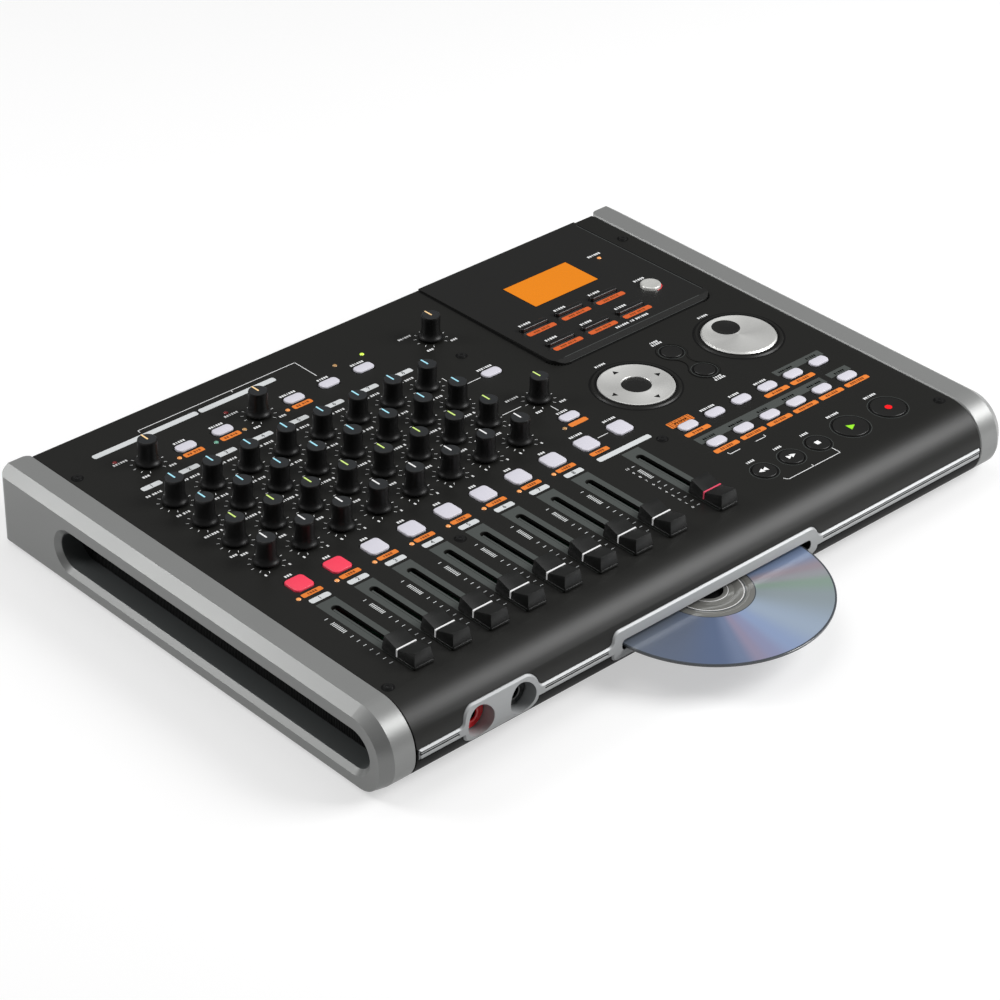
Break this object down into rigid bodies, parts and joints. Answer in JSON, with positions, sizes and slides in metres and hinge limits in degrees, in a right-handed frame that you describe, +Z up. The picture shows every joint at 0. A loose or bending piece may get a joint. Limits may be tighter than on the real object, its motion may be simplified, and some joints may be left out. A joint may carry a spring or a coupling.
{
  "type": "digital multitrack recorder",
  "caption": "Flat desktop multitrack recorder with a raised display, rotary knobs, slide faders, keys, a jog wheel and a front slot with a disc half out.",
  "frame": {"origin": "middle of the bounding box at the height of the feet's undersides", "axes": "+X to the right along the front edge, +Y from the front edge to the rear, +Z up"},
  "size_m": [0.4086, 0.3328, 0.0549],
  "materials": {
    "cheek_silver": "satin metallic",
    "panel_black": "satin",
    "tray_black": "matte",
    "trim_silver": "satin",
    "jack_black": "gloss",
    "socket_black": "satin",
    "board_green": "satin",
    "steel": "bright",
    "pod_black": "satin",
    "lcd_orange": "gloss",
    "disc_silver": "bright",
    "wheel_silver": "turned",
    "knob_black": "satin",
    "cap_black": "satin",
    "key_black": "gloss",
    "key_white": "satin",
    "rubber_black": "matte"
  },
  "bodies": {
    "housing": {"left_cheek": "cheek_silver", "right_cheek": "cheek_silver", "top_panel": "panel_black", "bottom_tray": "tray_black", "feet": "rubber_black", "front_trim": "trim_silver", "front_jacks": "jack_black", "rear_sockets": "socket_black", "main_board": "board_green", "rotary_pots": "socket_black", "fader_bodies": "steel", "slot_drive": "steel", "case_screws": "steel", "display_pod": "pod_black", "lcd_window": "lcd_orange", "channel_5_to_8_knobs": "knob_black"},
    "disc": {"disc": "disc_silver"},
    "cursor_key": {"cursor_key": "wheel_silver"},
    "data_wheel": {"data_wheel": "wheel_silver"},
    "channel_1_treble_knob": {"channel_1_treble_knob": "knob_black"},
    "channel_1_bass_knob": {"channel_1_bass_knob": "knob_black"},
    "channel_1_effect_knob": {"channel_1_effect_knob": "knob_black"},
    "channel_1_pan_knob": {"channel_1_pan_knob": "knob_black"},
    "channel_2_treble_knob": {"channel_2_treble_knob": "knob_black"},
    "channel_2_bass_knob": {"channel_2_bass_knob": "knob_black"},
    "channel_2_effect_knob": {"channel_2_effect_knob": "knob_black"},
    "channel_2_pan_knob": {"channel_2_pan_knob": "knob_black"},
    "channel_3_treble_knob": {"channel_3_treble_knob": "knob_black"},
    "channel_3_bass_knob": {"channel_3_bass_knob": "knob_black"},
    "channel_3_effect_knob": {"channel_3_effect_knob": "knob_black"},
    "channel_3_pan_knob": {"channel_3_pan_knob": "knob_black"},
    "channel_4_treble_knob": {"channel_4_treble_knob": "knob_black"},
    "channel_4_bass_knob": {"channel_4_bass_knob": "knob_black"},
    "channel_4_effect_knob": {"channel_4_effect_knob": "knob_black"},
    "channel_4_pan_knob": {"channel_4_pan_knob": "knob_black"},
    "level_a_knob": {"level_a_knob": "knob_black"},
    "level_b_knob": {"level_b_knob": "knob_black"},
    "phones_knob": {"phones_knob": "knob_black"},
    "effect_return_knob": {"effect_return_knob": "knob_black"},
    "channel_1_fader": {"channel_1_fader": "cap_black"},
    "channel_2_fader": {"channel_2_fader": "cap_black"},
    "channel_3_fader": {"channel_3_fader": "cap_black"},
    "channel_4_fader": {"channel_4_fader": "cap_black"},
    "channel_5_fader": {"channel_5_fader": "cap_black"},
    "channel_6_fader": {"channel_6_fader": "cap_black"},
    "channel_7_fader": {"channel_7_fader": "cap_black"},
    "channel_8_fader": {"channel_8_fader": "cap_black"},
    "master_fader": {"master_fader": "cap_black"},
    "rewind_key": {"rewind_key": "key_black"},
    "forward_key": {"forward_key": "key_black"},
    "stop_key": {"stop_key": "key_black"},
    "play_key": {"play_key": "key_black"},
    "record_key": {"record_key": "key_black"},
    "yes_key": {"yes_key": "key_black"},
    "no_key": {"no_key": "key_black"},
    "channel_keys": {"channel_keys": "key_white"},
    "input_keys": {"input_keys": "key_white"},
    "function_keys": {"function_keys": "key_white"},
    "display_keys": {"display_keys": "key_black"},
    "power_key": {"power_key": "wheel_silver"}
  },
  "joints": [
    {"name": "disc_slide", "type": "slide", "parent": "housing", "child": "disc", "axis": [0, 1, 0], "range_m": [0, 0.057]},
    {"name": "cursor_key_press", "type": "slide", "parent": "housing", "child": "cursor_key", "axis": [0, 0, -1], "range_m": [0, 0.0008], "stiffness_N_per_m": 800, "springref_m": -0.0006},
    {"name": "data_wheel_spin", "type": "hinge", "parent": "housing", "child": "data_wheel", "pos_m": [0.1517, 0.02155, 0.041], "axis": [0, 0, 1], "continuous": true},
    {"name": "channel_1_treble_knob_turn", "type": "hinge", "parent": "housing", "child": "channel_1_treble_knob", "pos_m": [-0.1594, 0.08785, 0.041], "axis": [0, 0, 1], "range_deg": [-150, 150]},
    {"name": "channel_1_bass_knob_turn", "type": "hinge", "parent": "housing", "child": "channel_1_bass_knob", "pos_m": [-0.1594, 0.06545, 0.041], "axis": [0, 0, 1], "range_deg": [-150, 150]},
    {"name": "channel_1_effect_knob_turn", "type": "hinge", "parent": "housing", "child": "channel_1_effect_knob", "pos_m": [-0.1594, 0.04305, 0.041], "axis": [0, 0, 1], "range_deg": [-150, 150]},
    {"name": "channel_1_pan_knob_turn", "type": "hinge", "parent": "housing", "child": "channel_1_pan_knob", "pos_m": [-0.1594, 0.02065, 0.041], "axis": [0, 0, 1], "range_deg": [-150, 150]},
    {"name": "channel_2_treble_knob_turn", "type": "hinge", "parent": "housing", "child": "channel_2_treble_knob", "pos_m": [-0.1369, 0.08785, 0.041], "axis": [0, 0, 1], "range_deg": [-150, 150]},
    {"name": "channel_2_bass_knob_turn", "type": "hinge", "parent": "housing", "child": "channel_2_bass_knob", "pos_m": [-0.1369, 0.06545, 0.041], "axis": [0, 0, 1], "range_deg": [-150, 150]},
    {"name": "channel_2_effect_knob_turn", "type": "hinge", "parent": "housing", "child": "channel_2_effect_knob", "pos_m": [-0.1369, 0.04305, 0.041], "axis": [0, 0, 1], "range_deg": [-150, 150]},
    {"name": "channel_2_pan_knob_turn", "type": "hinge", "parent": "housing", "child": "channel_2_pan_knob", "pos_m": [-0.1369, 0.02065, 0.041], "axis": [0, 0, 1], "range_deg": [-150, 150]},
    {"name": "channel_3_treble_knob_turn", "type": "hinge", "parent": "housing", "child": "channel_3_treble_knob", "pos_m": [-0.1144, 0.08785, 0.041], "axis": [0, 0, 1], "range_deg": [-150, 150]},
    {"name": "channel_3_bass_knob_turn", "type": "hinge", "parent": "housing", "child": "channel_3_bass_knob", "pos_m": [-0.1144, 0.06545, 0.041], "axis": [0, 0, 1], "range_deg": [-150, 150]},
    {"name": "channel_3_effect_knob_turn", "type": "hinge", "parent": "housing", "child": "channel_3_effect_knob", "pos_m": [-0.1144, 0.04305, 0.041], "axis": [0, 0, 1], "range_deg": [-150, 150]},
    {"name": "channel_3_pan_knob_turn", "type": "hinge", "parent": "housing", "child": "channel_3_pan_knob", "pos_m": [-0.1144, 0.02065, 0.041], "axis": [0, 0, 1], "range_deg": [-150, 150]},
    {"name": "channel_4_treble_knob_turn", "type": "hinge", "parent": "housing", "child": "channel_4_treble_knob", "pos_m": [-0.0919, 0.08785, 0.041], "axis": [0, 0, 1], "range_deg": [-150, 150]},
    {"name": "channel_4_bass_knob_turn", "type": "hinge", "parent": "housing", "child": "channel_4_bass_knob", "pos_m": [-0.0919, 0.06545, 0.041], "axis": [0, 0, 1], "range_deg": [-150, 150]},
    {"name": "channel_4_effect_knob_turn", "type": "hinge", "parent": "housing", "child": "channel_4_effect_knob", "pos_m": [-0.0919, 0.04305, 0.041], "axis": [0, 0, 1], "range_deg": [-150, 150]},
    {"name": "channel_4_pan_knob_turn", "type": "hinge", "parent": "housing", "child": "channel_4_pan_knob", "pos_m": [-0.0919, 0.02065, 0.041], "axis": [0, 0, 1], "range_deg": [-150, 150]},
    {"name": "level_a_knob_turn", "type": "hinge", "parent": "housing", "child": "level_a_knob", "pos_m": [-0.14815, 0.12305, 0.041], "axis": [0, 0, 1], "range_deg": [-150, 150]},
    {"name": "level_b_knob_turn", "type": "hinge", "parent": "housing", "child": "level_b_knob", "pos_m": [-0.08065, 0.12305, 0.041], "axis": [0, 0, 1], "range_deg": [-150, 150]},
    {"name": "phones_knob_turn", "type": "hinge", "parent": "housing", "child": "phones_knob", "pos_m": [0.03185, 0.12305, 0.041], "axis": [0, 0, 1], "range_deg": [-150, 150]},
    {"name": "effect_return_knob_turn", "type": "hinge", "parent": "housing", "child": "effect_return_knob", "pos_m": [0.03185, 0.04305, 0.041], "axis": [0, 0, 1], "range_deg": [-150, 150]},
    {"name": "channel_1_fader_slide", "type": "slide", "parent": "housing", "child": "channel_1_fader", "axis": [0, 1, 0], "range_m": [0, 0.0437]},
    {"name": "channel_2_fader_slide", "type": "slide", "parent": "housing", "child": "channel_2_fader", "axis": [0, 1, 0], "range_m": [0, 0.0437]},
    {"name": "channel_3_fader_slide", "type": "slide", "parent": "housing", "child": "channel_3_fader", "axis": [0, 1, 0], "range_m": [0, 0.0437]},
    {"name": "channel_4_fader_slide", "type": "slide", "parent": "housing", "child": "channel_4_fader", "axis": [0, 1, 0], "range_m": [0, 0.0437]},
    {"name": "channel_5_fader_slide", "type": "slide", "parent": "housing", "child": "channel_5_fader", "axis": [0, 1, 0], "range_m": [0, 0.0437]},
    {"name": "channel_6_fader_slide", "type": "slide", "parent": "housing", "child": "channel_6_fader", "axis": [0, 1, 0], "range_m": [0, 0.0437]},
    {"name": "channel_7_fader_slide", "type": "slide", "parent": "housing", "child": "channel_7_fader", "axis": [0, 1, 0], "range_m": [0, 0.0437]},
    {"name": "channel_8_fader_slide", "type": "slide", "parent": "housing", "child": "channel_8_fader", "axis": [0, 1, 0], "range_m": [0, 0.0437]},
    {"name": "master_fader_slide", "type": "slide", "parent": "housing", "child": "master_fader", "axis": [0, 1, 0], "range_m": [0, 0.0437]},
    {"name": "rewind_key_press", "type": "slide", "parent": "housing", "child": "rewind_key", "axis": [0, 0, -1], "range_m": [0, 0.0008], "stiffness_N_per_m": 400, "springref_m": -0.0006},
    {"name": "forward_key_press", "type": "slide", "parent": "housing", "child": "forward_key", "axis": [0, 0, -1], "range_m": [0, 0.0008], "stiffness_N_per_m": 400, "springref_m": -0.0006},
    {"name": "stop_key_press", "type": "slide", "parent": "housing", "child": "stop_key", "axis": [0, 0, -1], "range_m": [0, 0.0008], "stiffness_N_per_m": 400, "springref_m": -0.0006},
    {"name": "play_key_press", "type": "slide", "parent": "housing", "child": "play_key", "axis": [0, 0, -1], "range_m": [0, 0.0008], "stiffness_N_per_m": 400, "springref_m": -0.0006},
    {"name": "record_key_press", "type": "slide", "parent": "housing", "child": "record_key", "axis": [0, 0, -1], "range_m": [0, 0.0008], "stiffness_N_per_m": 400, "springref_m": -0.0006},
    {"name": "yes_key_press", "type": "slide", "parent": "housing", "child": "yes_key", "axis": [0, 0, -1], "range_m": [0, 0.0008], "stiffness_N_per_m": 400, "springref_m": -0.0006},
    {"name": "no_key_press", "type": "slide", "parent": "housing", "child": "no_key", "axis": [0, 0, -1], "range_m": [0, 0.0008], "stiffness_N_per_m": 400, "springref_m": -0.0006},
    {"name": "channel_keys_press", "type": "slide", "parent": "housing", "child": "channel_keys", "axis": [0, 0, -1], "range_m": [0, 0.0008], "stiffness_N_per_m": 1200, "springref_m": -0.0006},
    {"name": "input_keys_press", "type": "slide", "parent": "housing", "child": "input_keys", "axis": [0, 0, -1], "range_m": [0, 0.0008], "stiffness_N_per_m": 1200, "springref_m": -0.0006},
    {"name": "function_keys_press", "type": "slide", "parent": "housing", "child": "function_keys", "axis": [0, 0, -1], "range_m": [0, 0.0008], "stiffness_N_per_m": 1200, "springref_m": -0.0006},
    {"name": "display_keys_press", "type": "slide", "parent": "housing", "child": "display_keys", "axis": [0, 0, -1], "range_m": [0, 0.0008], "stiffness_N_per_m": 1200, "springref_m": -0.0006},
    {"name": "power_key_press", "type": "slide", "parent": "housing", "child": "power_key", "axis": [0, 0, -1], "range_m": [0, 0.0008], "stiffness_N_per_m": 400, "springref_m": -0.0006}
  ]
}
